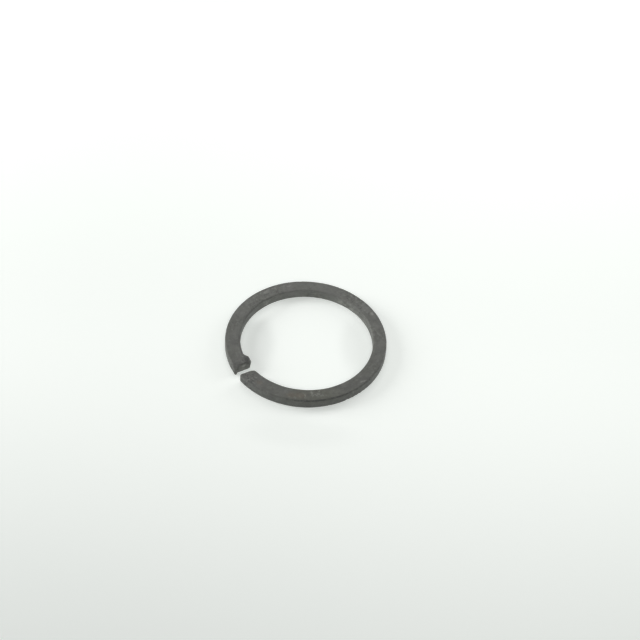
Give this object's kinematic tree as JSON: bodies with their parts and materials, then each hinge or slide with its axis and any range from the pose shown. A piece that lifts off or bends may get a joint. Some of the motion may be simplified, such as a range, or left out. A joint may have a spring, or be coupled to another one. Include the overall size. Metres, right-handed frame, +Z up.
{
  "type": "circlip retaining ring",
  "caption": "Dark spring-steel snap ring of rounded rectangular section, split by a sheared gap, with a small lug standing into the bore at one end.",
  "frame": {"origin": "centre of the outside circle, on the flat face that the ring lies on", "axes": "+Z up through the ring's thickness, +X through the middle of the gap; the end with the lug is on the -Y side of the gap"},
  "size_m": [0.024, 0.024, 0.0016],
  "materials": {
    "dark_spring_steel": "spring steel with a dull dark phosphate finish, lightly worn on the edges"
  },
  "bodies": {
    "root": {"ring": "dark_spring_steel"}
  },
  "joints": []
}
